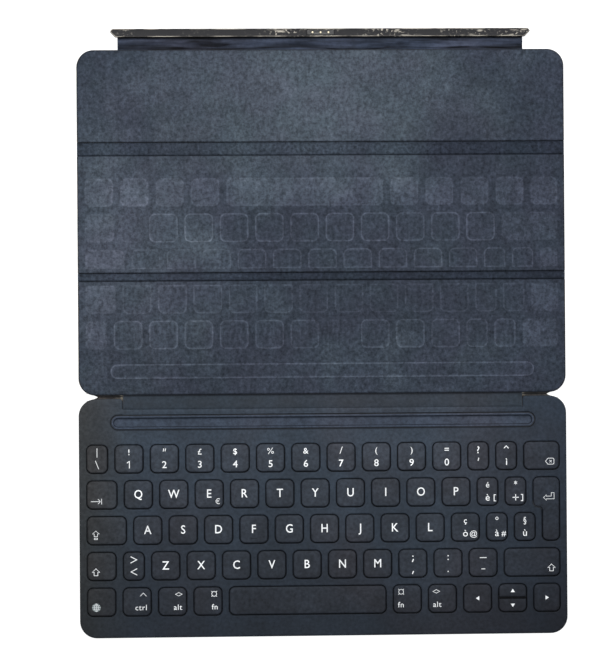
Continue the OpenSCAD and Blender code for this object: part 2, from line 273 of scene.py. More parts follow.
class Look:
    """A node material, with short calls for what the surfaces here are made of."""

    def __init__(self, name, **sockets):
        self.material = bpy.data.materials.new(name)
        self.material.use_nodes = True
        self.tree = self.material.node_tree
        self.shader = self.tree.nodes["Principled BSDF"]
        for key, value in sockets.items():
            self.shader.inputs[key.replace("_", " ")].default_value = value
        self.place = add(self.tree, "TexCoord").outputs["Object"]
        self.bumps = []

    def math(self, how, a, b=0.0, clamp=False):
        return add(self.tree, "Math", {0: a, 1: b}, operation=how, use_clamp=clamp).outputs[0]

    def noise(self, size, detail=3.0, stretch=(1, 1, 1), rough=0.5):
        """Noise from about 0 to 1 whose blobs are about that many millimetres."""
        place = add(self.tree, "Mapping", {"Vector": self.place, "Scale": stretch}).outputs[0]
        return add(self.tree, "TexNoise", {"Vector": place, "Scale": 0.5 / (size * MM),
                                           "Detail": detail, "Roughness": rough}).outputs["Fac"]

    def ramp(self, fac, low, high, a=0.0, b=1.0):
        return add(self.tree, "MapRange", {"Value": fac, "From Min": low, "From Max": high,
                                           "To Min": a, "To Max": b}, clamp=True).outputs[0]

    def mix(self, fac, a, b, how="MIX"):
        node = add(self.tree, "Mix", {"Factor": fac}, data_type="RGBA", blend_type=how)
        for socket, value in ((node.inputs[6], a), (node.inputs[7], b)):
            if isinstance(value, bpy.types.NodeSocket):
                self.tree.links.new(value, socket)
            else:
                socket.default_value = value
        return node.outputs[2]

    def times(self, shade, factor):
        """The shade multiplied by a colour or by a value from 0 up."""
        return self.mix(1.0, shade, factor, "MULTIPLY")

    def tint(self, shade, fac, rgb):
        """The shade, multiplied by rgb where fac is 1."""
        return self.mix(fac, shade, self.times(shade, (*rgb, 1)))

    def mark(self):
        return add(self.tree, "Attribute", attribute_name="mark").outputs["Fac"]

    def worn(self):
        return self.math("MAXIMUM", self.mark(), 0.0)

    def painted_crease_shade(self):
        """Where the mark is below zero: painted shade in creases and gaps that light doesn't reach.
        """
        return self.math("MAXIMUM", self.math("MULTIPLY", self.mark(), -1.0), 0.0)

    def patch(self, middle, size):
        """1 at a place, falling to 0 within that size, all in millimetres, with a ragged border."""
        scale = tuple(1 / (s * MM) for s in size)
        place = add(self.tree, "Mapping", {"Vector": self.place, "Scale": (*scale, 0), "Location": (
            -middle[0] * MM * scale[0], -middle[1] * MM * scale[1], 0)}).outputs[0]
        ball = add(self.tree, "TexGradient", {"Vector": place},
                   gradient_type="SPHERICAL").outputs["Fac"]
        ragged = self.math("ADD", ball, self.ramp(self.noise(13, 4.0), 0.3, 0.7, -0.2, 0.2))
        return self.ramp(ragged, 0.05, 0.75)

    def axis(self, which):
        return add(self.tree, "SeparateXYZ", {"Vector": self.place}).outputs[which]

    def weave(self, pitch):
        """Height of a weave, from 0 to 1."""
        wave = {"Vector": self.place, "Scale": math.pi / 10 / (pitch * MM), "Distortion": 0.6,
                "Detail": 1.0, "Detail Scale": 0.4}
        waves = [add(self.tree, "TexWave", wave, bands_direction=d).outputs["Fac"] for d in "XY"]
        return self.math("MULTIPLY", *waves)

    def bump(self, height, distance):
        """Adds relief of that many millimetres."""
        inputs = {"Height": height, "Distance": distance * MM, "Strength": 1.0}
        if self.bumps:
            inputs["Normal"] = self.bumps[-1]
        self.bumps.append(add(self.tree, "Bump", inputs).outputs[0])

    def done(self, base=None, roughness=None):
        for key, value in (("Base Color", base), ("Roughness", roughness)):
            if value is not None:
                self.tree.links.new(value, self.shader.inputs[key])
        if self.bumps:
            self.tree.links.new(self.bumps[-1], self.shader.inputs["Normal"])
        return self.material


def coated_fabric(name, rgb, grain=0.2, pitch=0.42, relief=0.035, edge=None, specular=0.12,
                  sheen=0.02, painted_falloff_and_warm_left=False, crease=(0.26, 0.28, 0.32), painted_sheen=0.0, under=None):
    """Fine coated weave: grained and clouded, rubbed where its mark is up, with painted crease
    shade where it is down. Some of it is darker towards the front and the right, painted shade of
    light falling off from the back, and warmer at the left; some has painted sheen in streaks."""
    look = Look(name, Specular_IOR_Level=specular, Sheen_Weight=sheen, Sheen_Roughness=0.4,
                Sheen_Tint=(0.8, 0.88, 1, 1))
    patches, speckle = look.noise(5, 3.0), look.noise(0.9, 3.0, rough=0.65)
    shade = look.times(colour(*rgb), look.ramp(look.noise(24, 4.0), 0.3, 0.7, 0.86, 1.14))
    shade = look.times(shade, look.ramp(patches, 0.3, 0.7, 1 - grain * 0.5, 1 + grain * 0.5))
    shade = look.times(shade, look.ramp(speckle, 0.3, 0.7, 1 - grain, 1 + grain))
    shade = look.tint(shade, look.ramp(look.noise(30, 2.0), 0.45, 0.65), (1.12, 0.97, 0.93))
    if painted_falloff_and_warm_left:
        # Painted shade: darker towards the front and the right, as light falls off from the back;
        # then a warm tint at the left
        shade = look.tint(shade, look.ramp(look.axis(1), -0.06, -0.15), (0.5, 0.49, 0.5))
        shade = look.tint(shade, look.ramp(look.axis(0), 0.06, 0.125), (0.6, 0.62, 0.66))
        shade = look.tint(shade, look.ramp(look.axis(0), -0.095, -0.123), (1.02, 0.88, 0.7))
    if painted_sheen:
        # Painted sheen: long lighter and darker streaks where light catches the wrinkles
        streaks = look.noise(2.2, 3.0, (0.12, 1, 1), 0.6)
        shade = look.times(shade, look.ramp(streaks, 0.34, 0.68, 1 - painted_sheen, 1 + 2 * painted_sheen))
    if edge:
        rubbed = look.math("MULTIPLY", look.worn(), look.ramp(look.noise(2.5, 3.0), 0.35, 0.6))
        shade = look.mix(rubbed, shade, colour(*edge))
    weave = look.weave(pitch)
    shade = look.tint(shade, look.math("MULTIPLY", weave, 0.4), (0.7, 0.7, 0.72))
    # Painted crease shade where the mark is below zero
    shade = look.tint(shade, look.painted_crease_shade(), crease)
    if under:
        shade = look.mix(look.ramp(look.mark(), 1.2, 1.6), shade, colour(*under))
    look.bump(weave, relief)
    look.bump(look.noise(1.1, 2.0), 0.03)
    return look.done(shade, look.ramp(patches, 0.3, 0.7, 0.55, 0.7))


def moulded(name, rgb, rough=0.45, relief=0.01, worn=None, metallic=0.0, specular=0.4):
    """Moulded plastic, board or metal: fine grain, uneven gloss, and scuffs where it is worn."""
    look = Look(name, Metallic=metallic, Specular_IOR_Level=specular)
    clouds = look.noise(9, 4.0)
    shade = look.times(colour(*rgb), look.ramp(clouds, 0.3, 0.7, 0.86, 1.14))
    if worn:
        scuffs = look.ramp(look.noise(1.4, 5.0, (0.3, 1, 1)), 0.6, 0.68)
        specks = look.ramp(look.noise(0.7, 3.0), 0.58, 0.66)
        where = look.math("MAXIMUM", look.ramp(look.noise(16, 3.0), 0.5, 0.62, 0.0, 0.8),
                          look.math("MAXIMUM", look.patch((-18, 155), (16, 16)),
                                    look.patch((36, 155), (18, 18))))
        amount = look.math("MULTIPLY", look.math("MAXIMUM", scuffs, specks), where)
        shade = look.mix(amount, shade, colour(*worn))
        rim = look.math("MULTIPLY", look.worn(), look.ramp(look.noise(5, 4.0), 0.42, 0.62, 0.1))
        shade = look.mix(rim, shade, colour(*worn))
    look.bump(look.noise(0.25, 2.0), relief)
    return look.done(shade, look.ramp(clouds, 0.3, 0.7, rough - 0.07, rough + 0.08))


def microfibre(name, rgb, nap=1.0, under=None):
    """Brushed lining: streaky grained nap, purplish and greenish in patches, paler in its upper
    middle (brushed nap and a painted pool of light), paler in a patch at the lower left, darker
    towards the right (painted shade), paler where its mark is up and darker where it is down
    (painted crease shade)."""
    look = Look(name, Specular_IOR_Level=0.08, Sheen_Weight=0.05, Sheen_Roughness=0.45,
                Sheen_Tint=(0.8, 0.9, 1, 1))
    patches, fibres = look.noise(6, 4.0, rough=0.6), look.noise(0.8, 3.0, rough=0.7)
    streaks = look.noise(0.8, 3.0, (1, 0.35, 1))
    shade = look.times(colour(*rgb), look.ramp(look.noise(34, 3.0), 0.3, 0.7, 0.88, 1.14))
    for height, depth in ((patches, 0.1), (streaks, 0.14), (fibres, 0.46)):
        shade = look.times(shade, look.ramp(height, 0.3, 0.7, 1 - depth * nap, 1 + depth * nap))
    hue = look.ramp(look.noise(14, 3.0), 0.4, 0.6)
    shade = look.mix(hue, look.times(shade, (1.03, 0.99, 1.02, 1)),
                     look.times(shade, (0.97, 1.01, 1.0, 1)))
    # Paler in the upper middle: partly brushed nap, partly a painted pool of light and sheen
    shade = look.tint(shade, look.patch((-5, 122), (112, 62)), (1.78, 1.76, 1.6))
    # Paler in a patch at the lower left
    shade = look.tint(shade, look.patch((-98, 46), (66, 95)), (1.5, 1.45, 1.38))
    # Painted shade: darker towards the right
    shade = look.tint(shade, look.ramp(look.axis(0), 0.05, 0.12), (0.9, 0.9, 0.92))
    look.bump(fibres, 0.06)
    look.bump(patches, 0.05)
    pale = look.math("MULTIPLY", look.worn(), look.ramp(look.noise(3.0, 3.0), 0.3, 0.6, 0.5, 1.0))
    shade = look.tint(shade, pale, (2.2, 2.1, 2.05))
    # Painted crease shade where the mark is below zero
    shade = look.tint(shade, look.painted_crease_shade(), (0.24, 0.25, 0.28))
    if under:
        shade = look.mix(look.ramp(look.mark(), 1.2, 1.6), shade, colour(*under))
    return look.done(shade, look.ramp(patches, 0.3, 0.7, 0.8, 0.95))


OUTER = (40, 41, 44)
looks = {
    "deck": coated_fabric("Deck_weave", (50, 59, 70), 0.26, painted_falloff_and_warm_left=True),
    "key": coated_fabric("Key_weave", (53, 59, 68), 0.34, painted_falloff_and_warm_left=True),
    "skin": coated_fabric("Outer_weave", OUTER, 0.16, edge=(150, 136, 118), relief=0.04),
    "band": coated_fabric("Fold_weave", (40, 48, 57), 0.28, edge=(84, 82, 80), under=OUTER),
    "web": coated_fabric("Web_weave", (44, 43, 44), 0.4, edge=(160, 152, 138),
                         crease=(0.1, 0.1, 0.12), under=OUTER),
    # The strip's crease colour is nearly black: the painted shadow under the bar
    "strip": coated_fabric("Strip_weave", (36, 42, 54), 0.2, relief=0.02, specular=0.06,
                           sheen=0.0, crease=(0.03, 0.035, 0.05), painted_sheen=0.75,
                           under=OUTER),
    "rail": coated_fabric("Rail_rubber", (55, 64, 78), 0.34, pitch=0.3, relief=0.015),
    "lining": microfibre("Microfibre", (47, 53, 63)),
    "fold": microfibre("Microfibre_fold", (38, 44, 54), nap=1.2, under=OUTER),
    "bar": moulded("Bar_plastic", (27, 27, 30), 0.5, worn=(160, 154, 144), specular=0.15),
    "bar_back": moulded("Bar_back_plastic", (27, 27, 30), 0.5, specular=0.15),
    "carrier": moulded("Carrier_plastic", (24, 24, 26), 0.4),
    "gold": moulded("Contact_metal", (176, 168, 148), 0.35, metallic=1.0, relief=0.002),
    "legend": moulded("Legend_ink", (236, 238, 240), 0.6, relief=0.004),
    "disc": moulded("Disc_ink", (98, 110, 112), 0.6, relief=0.004),
    "stiffener": moulded("Stiffener_board", (140, 128, 110), 0.7),
    "frame_plastic": moulded("Frame_plastic", (38, 40, 44), 0.55),
    "base_metal": moulded("Base_metal", (46, 48, 52), 0.5, metallic=0.3),
    "conductive_textile": coated_fabric("Conductive_textile", OUTER, 0.2),
    "dome_rubber": moulded("Dome_rubber", (70, 70, 72), 0.7),
    "magnet": moulded("Magnet_plating", (176, 176, 180), 0.28, metallic=1.0),
    "circuit_board": moulded("Circuit_board", (20, 72, 42), 0.4),
    "chip_plastic": moulded("Chip_plastic", (26, 26, 28), 0.4),
}


# ---- Keys, as the CAD model has them

def solids(node):
    """Points of each separate solid in a CAD node, in millimetres."""
    bm = bmesh.new()
    bm.from_mesh(frame["nodes"][node].data)
    bmesh.ops.remove_doubles(bm, verts=bm.verts, dist=1e-6)
    left, groups = set(bm.verts), []
    while left:
        queue, group = [left.pop()], []
        while queue:
            v = queue.pop()
            group.append(v)
            for e in v.link_edges:
                other = e.other_vert(v)
                if other in left:
                    left.remove(other)
                    queue.append(other)
        groups.append(np.array([v.co[:] for v in group]) / MM)
    bm.free()
    return groups


keys = []
for node in sorted(n for n in frame["nodes"] if n.startswith("key_") and n != "key_circuit_sheet"):
    for points in solids(node):
        (x0, y0), (x1, y1) = points.min(0)[:2], points.max(0)[:2]
        corners = box_corners(x0, y0, x1, y1)
        if node == "key_arrow_up":
            corners = box_corners(x0, y0, x1, y1, 0.45, key_radius)
        if node == "key_arrow_down":
            corners = box_corners(x0, y0, x1, y1, key_radius, 0.45)
        if node == "key_return":
            near = points[points[:, 1] < y0 + 6]
            step_x = near[:, 0].min()
            step_y = points[points[:, 0] < step_x - 0.1][:, 1].min()
            corners = [(step_x, y0, key_radius), (x1, y0, key_radius), (x1, y1, key_radius),
                       (x0, y1, key_radius), (x0, step_y, 2.6), (step_x, step_y, 2.1)]
        keys.append({"node": node, "corners": corners, "x0": x0, "y0": y0, "x1": x1, "y1": y1,
                     "x": (x0 + x1) / 2, "y": (y0 + y1) / 2})
keys.sort(key=lambda k: (-round(k["y1"]), k["x0"]))
space = next(k for k in keys if k["node"] == "key_space")
row_backs = sorted({round(k["y1"]) for k in keys if k["node"].startswith("key_column")}
                   | {round(space["y1"])}, reverse=True)
for k in keys:
    k["row"] = min(range(len(row_backs)), key=lambda r: abs(row_backs[r] - k["y1"]))
up, down = (next(k for k in keys if k["node"] == n) for n in ("key_arrow_up", "key_arrow_down"))
arrow_place = box_corners(down["x0"], down["y0"], up["x1"], up["y1"])
hole_corners = [k["corners"] for k in keys if k not in (up, down)] + [arrow_place]


# ---- Keyboard panel

tab_x, core_back = band_hi.x, band_lo.y
deck_corners = [(-half_width, deck_lo.y, corner_radius), (half_width, deck_lo.y, corner_radius),
                (half_width, deck_hi.y, corner_radius), (tab_x, deck_hi.y, 1.6),
                (tab_x, core_back, 0.6), (-tab_x, core_back, 0.6), (-tab_x, deck_hi.y, 1.6),
                (-half_width, deck_hi.y, corner_radius)]
CORE_EDGE = 4


def deck_ring(inset, core_inset):
    grows = [-inset] * len(deck_corners)
    grows[CORE_EDGE] = -core_inset
    return outline(deck_corners, grows, 12)


def painted_side_shade(corners, mark):
    """A painted-shade mark that is full on the front and right sides of an outline and weak on the
    others, as if lit from the back.
    """
    x0, x1 = min(c[0] for c in corners), max(c[0] for c in corners)
    y0, y1 = min(c[1] for c in corners), max(c[1] for c in corners)

    def value(x, y):
        across, deep = (2 * x - x0 - x1) / (x1 - x0), (y0 + y1 - 2 * y) / (y1 - y0)
        return mark * (0.42 + 0.58 * smooth((0.5 * across + 0.7 * deep + 0.75) / 1.3))
    return value


def deck_height(x, y):
    return deck_hi.z + wander(x, y, 9, 0.03)


deck = Surface()
seam_z = 1.95
top_rings = [(0, 0, seam_z, 0.2), (0, 0, 2.5, 0), (0.07, 0, 2.84, 0), (0.28, 0.1, 3.1, 0),
             (0.6, 0.8, 3.28, 0), (1.0, 1.6, 3.375, 0), (1.4, 2.4, 3.4, 0), (1.6, 2.6, 3.4, 0)]
outer = deck.loft([deck.ring(deck_ring(i, c), z, m) for i, c, z, m in top_rings])
under = deck.ring(deck_ring(0.8, 0.5), seam_z)
under_top = deck.ring(deck_ring(0.8, 0.5), deck_lo.z)
deck.strip(under, deck.ring(deck_ring(0, 0), seam_z))
deck.strip(under_top, under)
# Grow, height and mark of the rings round each key hole; marks below zero paint shade down into the
# gap, stronger at the front and right
HOLE = [(0.35, deck_lo.z, -1), (0.35, 3.2, -1), (0.47, 3.34, -0.85), (0.66, 3.385, -0.2),
        (0.9, 3.39, 0), (1.2, 3.47, 0), (1.46, 3.41, 0), (1.6, 3.4, 0)]
holes, under_holes = [], []
for corners in hole_corners:
    rings = [deck.ring(outline(corners, g), z, painted_side_shade(corners, m)) for g, z, m in reversed(HOLE)]
    deck.loft(rings)
    holes.append(rings[0])
    under_holes.append(rings[-1])
rail_corners = box_corners(rail_lo.x, rail_lo.y, rail_hi.x, rail_hi.y, (rail_hi.y - rail_lo.y) / 2)
# Round the rail: marks below zero paint shade down its outer wall
rings = [deck.ring(outline(rail_corners, g, 14), z, m) for g, z, m in
         [(1.7, 3.4, 0), (1.5, 3.4, 0), (0.9, 3.38, -0.2), (0.55, 3.3, -0.9), (0.36, 3.15, -1),
          (0.3, deck_lo.z, -1)]]
deck.loft(rings)
holes.append(rings[0])
under_holes.append(rings[-1])
deck.fill(outer, holes, spacing=5, z=deck_height)
deck.fill(under_top, under_holes, down=True)
deck.make("Deck_skin", "keyboard", looks["deck"], "deck_fabric", ["keyboard_top_skin"])

back = Surface()
rings = [back.ring(deck_ring(i, 0), z) for i, z in
         [(1.4, 0), (1.2, 0), (0.75, 0.05), (0.35, 0.2), (0.09, 0.48), (0, 0.85), (0, 1.7),
          (0.1, 1.86), (0.2, 1.88)]]
back.loft(rings)
wall = [back.ring(deck_ring(i, c), z) for i, c, z in [(0.8, 0.5, 1.88), (0.8, 0.5, 0.4)]]
back.loft([rings[-1], *wall])
back.fill(wall[-1])
back.fill(rings[0], down=True)
back.make("Deck_back_skin", "keyboard", looks["skin"], "woven_skin", ["keyboard_back_skin"])

rim = Surface()
# Inset, height and mark of the rail rim; marks below zero paint shade at its foot and down its
# inner wall
RIM = [(0, rail_lo.z, -1), (0, 3.35, -1), (0.06, 3.58, -0.6), (0.2, 3.73, 0), (0.42, 3.79, 0.2),
       (0.62, 3.8, 0.2), (0.84, 3.76, 0), (1.0, 3.63, -0.5), (1.08, 3.45, -0.9), (1.12, 3.0, -1),
       (1.2, 2.78, -0.9), (1.4, 2.65, -0.4), (1.7, 2.6, 0), (1.85, 2.6, 0)]
rings = [rim.ring(outline(rail_corners, -i, 14), z, m) for i, z, m in RIM]
rim.loft(rings)
rim.fill(rings[-1], spacing=2.5, z=lambda x, y: 2.6 + wander(x, y, 7, 0.03))
rim.fill(rings[0], down=True)
rim.make("Groove_rim", "keyboard", looks["rail"], "rail_fabric", ["tablet_rail"])

# Key caps: fabric drawn over a soft pad, rolling over at the rim; marks below zero paint shade on
# the sides, stronger at the front and right
CAP = [(0, 2.45, -1), (0, 3.25, -1), (0.05, 3.5, -1), (0.18, 3.72, -0.7), (0.42, 3.86, -0.25),
       (0.8, 3.94, 0), (1.35, 3.985, 0), (2.1, 4.0, 0), (2.3, 4.0, 0)]
for node in sorted({k["node"] for k in keys}):
    caps = Surface()
    for k in (k for k in keys if k["node"] == node):
        rings = [caps.ring(outline(k["corners"], -i), z, painted_side_shade(k["corners"], m))
                 for i, z, m in CAP]
        caps.solid(rings)
        if k["row"] == 2 and node in ("key_column_4", "key_column_7"):
            pill = box_corners(k["x"] - 1.8, k["y0"] + 2.6, k["x"] + 1.8, k["y0"] + 3.2, 0.29)
            ridge = [caps.ring(outline(pill, -i, 4), z) for i, z in
                     [(0, 3.97), (0.02, 4.1), (0.1, 4.2), (0.2, 4.24)]]
            caps.solid(ridge)
    caps.make("Cap_" + node[4:], node, looks["key"], "key_fabric", [node])


# ---- Legends

text_data = {}
CAP_HEIGHT = 0.73
NARROW = 0.9


def text_mesh(text, height):
    """A text's closed mesh, in millimetres, with capitals of that height."""
    if (text, height) not in text_data:
        curve = bpy.data.curves.new("text", "FONT")
        curve.body, curve.size, curve.extrude = text, height / CAP_HEIGHT, 0.012
        curve.resolution_u = 3
        bold = len(text) == 1 and (text.isupper() or text.isdigit() or text in "£$&!?")
        curve.offset = (0.009 if bold else 0.003) * height
        curve.space_character = 1.1
        o = bpy.data.objects.new("text", curve)
        bpy.context.scene.collection.objects.link(o)
        bpy.context.view_layer.update()
        mesh = bpy.data.meshes.new_from_object(
            o.evaluated_get(bpy.context.evaluated_depsgraph_get()))
        bpy.data.objects.remove(o)
        width = NARROW if len(text) == 1 and text.isupper() else 1.02
        points = np.array([v.co[:] for v in mesh.vertices]) * (width, 1, 1)
        text_data[text, height] = points, [tuple(p.vertices) for p in mesh.polygons]
        bpy.data.meshes.remove(mesh)
        bpy.data.curves.remove(curve)
    return text_data[text, height]


INK_Z = 4.012
INK = 0.012
legends = {}


def ink(k, points, faces):
    """Adds flat ink to the legends of a key's body."""
    s = legends.setdefault(k["node"], Surface())
    first = len(s.points)
    for x, y, z in points:
        s.add(x, y, z)
    s.faces += [tuple(first + i for i in f) for f in faces]


def stroke(k, line, width, dx=0.0, dy=0.0, closed=False):
    """A flat line of even width on a key, mitred at its corners."""
    p = [Vector(q) for q in line]
    n = len(p)
    points, faces = [], []
    for i in range(n):
        before = (p[i] - p[i - 1] if closed or i else p[1] - p[0]).normalized()
        after = (p[(i + 1) % n] - p[i]).normalized() if closed or i < n - 1 else before
        side = Vector((-before.y - after.y, before.x + after.x))
        side *= width / 2 / max(0.5, 1 + before.dot(after))
        middle = p[i]
        if not closed and i in (0, n - 1):
            middle = middle + before * width / 2 * (1 if i else -1)
        for sign, z in ((1, INK), (-1, INK), (-1, -INK), (1, -INK)):
            q = middle + side * sign
            points.append((k["x"] + dx + q.x, k["y"] + dy + q.y, INK_Z + z))
    for i in range(n if closed else n - 1):
        j = (i + 1) % n
        for c in range(4):
            d = (c + 1) % 4
            faces.append((4 * i + c, 4 * i + d, 4 * j + d, 4 * j + c))
    if not closed:
        faces += [(3, 2, 1, 0), tuple(range(4 * n - 4, 4 * n))]
    ink(k, points, faces)


def shape(k, outline_points):
    """A filled flat shape on a key."""
    n = len(outline_points)
    low = [(k["x"] + x, k["y"] + y, INK_Z - INK) for x, y in outline_points]
    high = [(x, y, z + 2 * INK) for x, y, z in low]
    faces = [tuple(range(n, 2 * n)), tuple(reversed(range(n)))]
    faces += [(i, (i + 1) % n, n + (i + 1) % n, n + i) for i in range(n)]
    ink(k, low + high, faces)


def circle(radius, count=14, x=0.0, y=0.0):
    return [(x + radius * math.cos(a), y + radius * math.sin(a))
            for a in np.linspace(0, 2 * math.pi, count + 1)[:-1]]


# Signs drawn as lines, in heights of a capital letter above the baseline
DOT = ((0, 0.09), (0, 0.1))
SIGNS = {
    "1": [((-0.24, 0.76), (0.06, 0.96), (0.06, 0.04))],
    "\"": [((-0.1, 0.98), (-0.18, 0.62)), ((0.2, 0.98), (0.12, 0.62))],
    "'": [((0.05, 0.98), (-0.03, 0.66))],
    ">": [((-0.4, 0.92), (0.4, 0.5), (-0.4, 0.08))],
    "<": [((0.4, 0.92), (-0.4, 0.5), (0.4, 0.08))],
    "^": [((-0.34, 0.62), (0, 0.98), (0.34, 0.62))],
    "_": [((-0.42, 0.3), (0.42, 0.3))],
    "-": [((-0.22, 0.4), (0.22, 0.4))],
    "=": [((-0.3, 0.66), (0.3, 0.66)), ((-0.3, 0.34), (0.3, 0.34))],
    "+": [((-0.38, 0.42), (0.38, 0.42)), ((0, 0.04), (0, 0.8))],
    "*": [((-0.22, 0.62), (0.22, 0.88)), ((-0.22, 0.88), (0.22, 0.62)), ((0, 0.5), (0, 1.0))],
    "|": [((0, 1.1), (0, -0.1))],
    "\\": [((-0.22, 1.05), (0.22, -0.05))],
    "/": [((0.2, 1.05), (-0.2, -0.05))],
    "[": [((0.2, 1.0), (-0.06, 1.0), (-0.06, -0.1), (0.2, -0.1))],
    "]": [((-0.2, 1.0), (0.06, 1.0), (0.06, -0.1), (-0.2, -0.1))],
    ".": [DOT],
    ",": [((0.05, 0.14), (-0.06, -0.14))],
    ":": [DOT, ((0, 0.6), (0, 0.61))],
    ";": [((0.05, 0.14), (-0.06, -0.14)), ((0, 0.6), (0, 0.61))],
    "%": [((0.34, 0.98), (-0.34, 0.02)), circle(0.17, 10, -0.34, 0.76),
          circle(0.17, 10, 0.34, 0.24)],
    "°": [circle(0.21, 12, 0, 0.76)],
}


def write(k, text, height, dx=0.0, dy=0.0, align="centre"):
    """A text on a key, its capitals of that height. Dx and dy go from the key's middle to the
    middle or the end of its baseline."""
    if text in SIGNS:
        for sign_line in SIGNS[text]:
            width = 0.52 if text in ".:;," else 0.3 if text in "|\\/%°*" else 0.4
            stroke(k, [(x * height, y * height) for x, y in sign_line], width, dx, dy,
                   isinstance(sign_line, list))
        return
    points, faces = text_mesh(text, height)
    lo, hi = points.min(0), points.max(0)
    x = {"centre": (lo[0] + hi[0]) / 2, "left": lo[0], "right": hi[0]}[align]
    ink(k, points - (x, 0, 0) + (k["x"] + dx, k["y"] + dy, INK_Z), faces)


rows = [[k for k in keys if k["row"] == r and k["node"] != "key_arrow_down"] for r in range(5)]
for r in rows:
    r.sort(key=lambda k: k["x0"])
LETTER, DIGIT, UPPER, SMALL = 4.5, 3.7, 3.1, 2.9
pairs = {0: ["|\\", "!1", "\"2", "£3", "$4", "%5", "&6", "/7", "(8", ")9", "=0", "?'", "^ì"],
         1: {11: "éè", 12: "*+"}, 2: {10: "çò", 11: "°à", 12: "§ù"},
         3: {1: "><", 9: ";,", 10: ":.", 11: "_-"}}
letters = {1: (1, "QWERTYUIOP"), 2: (1, "ASDFGHJKL"), 3: (2, "ZXCVBNM")}
for r, row in enumerate(rows[:4]):
    entries = pairs[r] if isinstance(pairs[r], dict) else dict(enumerate(pairs[r]))
    for i, (upper_sign, lower_sign) in entries.items():
        tall = upper_sign in "?|><;:_"
        write(row[i], upper_sign, DIGIT if tall else UPPER, dy=1.5 if tall else 2.1)
        write(row[i], lower_sign, DIGIT, dy=-4.7)
    first, word = letters.get(r, (0, ""))
    for n, letter in enumerate(word):
        write(row[first + n], letter, LETTER, dy=-1.8)
write(rows[1][3], "€", SMALL, 4.3, -5.1)
for r, i, mark in ((1, 11, "["), (1, 12, "]"), (2, 10, "@"), (2, 11, "#")):
    write(rows[r][i], mark, SMALL, 4.2 if i == 10 else 3.5, -4.6)

# Marks on the outer keys
named = {k["node"][4:]: k for k in keys}
LINE = 0.27
ARROW = [(-1.95, 0.1), (0, 1.95), (1.95, 0.1), (0.95, 0.1), (0.95, -1.6), (-0.95, -1.6),
         (-0.95, 0.1)]
tab, caps_key, ret, delete = (named[n] for n in ("tab", "caps", "return", "delete"))
x, y = tab["x0"] - tab["x"] + 4.8, tab["y0"] - tab["y"] + 3.8
stroke(tab, [(-2.7, 0), (2.0, 0)], LINE, x, y)
stroke(tab, [(0.9, 1.15), (2.05, 0), (0.9, -1.15)], LINE, x, y)
stroke(tab, [(2.65, 1.3), (2.65, -1.3)], LINE, x, y)
x, y = caps_key["x0"] - caps_key["x"] + 4.4, caps_key["y0"] - caps_key["y"] + 4.9
stroke(caps_key, [(q * 0.9, w * 0.8 + 0.6) for q, w in ARROW], LINE, x, y, True)
stroke(caps_key, [(-0.8, -1.5), (0.8, -1.5), (0.8, -2.2), (-0.8, -2.2)], LINE, x, y, True)
for side, name in ((-1, "shift_left"), (1, "shift_right")):
    k = named[name]
    stroke(k, ARROW, LINE, side * ((k["x1"] - k["x0"]) / 2 - 4.3), k["y0"] - k["y"] + 4.1, True)
stroke(ret, [(-2.8, -0.5), (-1.35, -1.9), (-1.35, -1.2), (2.7, -1.2), (2.7, 1.95), (1.25, 1.95),
             (1.25, 0.2), (-1.35, 0.2), (-1.35, 0.9)], LINE * 0.85,
       (ret["x1"] - ret["x0"]) / 2 - 5.4, ret["y1"] - ret["y"] - 10.0, True)
x, y = (delete["x1"] - delete["x0"]) / 2 - 4.8, delete["y0"] - delete["y"] + 4.1
stroke(delete, [(-2.2, 0), (-1.0, 1.55), (1.7, 1.55), (2.15, 1.1), (2.15, -1.1), (1.7, -1.55),
                (-1.0, -1.55)], LINE * 0.9, x, y, True)
stroke(delete, [(-0.1, 0.5), (0.9, -0.5)], LINE * 0.9, x, y)
stroke(delete, [(-0.1, -0.5), (0.9, 0.5)], LINE * 0.9, x, y)
for name, side, word in (("control", -1, "ctrl"), ("alt_left", -1, "alt"),
                         ("command_left", -1, "fn"), ("command_right", 1, "fn"),
                         ("alt_right", 1, "alt")):
    k = named[name]
    write(k, word, 2.9, -side * 4.9, k["y0"] - k["y"] + 2.9, "right" if side < 0 else "left")
    x, y = -side * 3.2, k["y1"] - k["y"] - 3.3
    if word == "ctrl":
        stroke(k, [(-1.5, -0.7), (0, 0.8), (1.5, -0.7)], LINE, x, y)
    elif word == "alt":
        stroke(k, [(-1.7, 0), (0, 0.9), (1.7, 0), (0, -0.9)], LINE, x, y, True)
    else:
        for turn in (0.25, 0.75, 1.25, 1.75):
            c, sn = math.cos(turn * math.pi), math.sin(turn * math.pi)
            stroke(k, [(1.5 * c, 1.5 * sn), (1.9 * c, 1.9 * sn)], LINE, x, y)
        stroke(k, circle(1.25), LINE, x, y, True)
for name, turn in (("arrow_left", 0), ("arrow_up", -1), ("arrow_right", 2), ("arrow_down", 1)):
    c, sn = math.cos(turn * math.pi / 2), math.sin(turn * math.pi / 2)
    shape(named[name], [(c * q - sn * w, sn * q + c * w) for q, w in
                        ((-0.95, 0), (0.8, -1.1), (0.8, 1.1))])
disc_key = named["language"]
disc_at = (disc_key["x0"] + 4.4, disc_key["y0"] + 4.4)
x, y = disc_at[0] - disc_key["x"], disc_at[1] - disc_key["y"]
for line_points in ([(-2, 0), (2, 0)], [(0, -2), (0, 2)], [(-1.7, 1), (1.7, 1)],
                    [(-1.7, -1), (1.7, -1)]):
    stroke(disc_key, line_points, 0.2, x, y)
stroke(disc_key, [(q * 0.5, w) for q, w in circle(2.0, 20)], 0.2, x, y, True)
for node, s in legends.items():
    s.make("Legend_" + node[4:], node, looks["legend"], "key_fabric")
disc = Surface()
rings = [disc.ring(circle(2.2, 48, *disc_at), z) for z in (3.99, 4.008)]
disc.solid(rings)
disc.make("Legend_disc", "key_language", looks["disc"], "key_fabric")


# ---- Cover panels

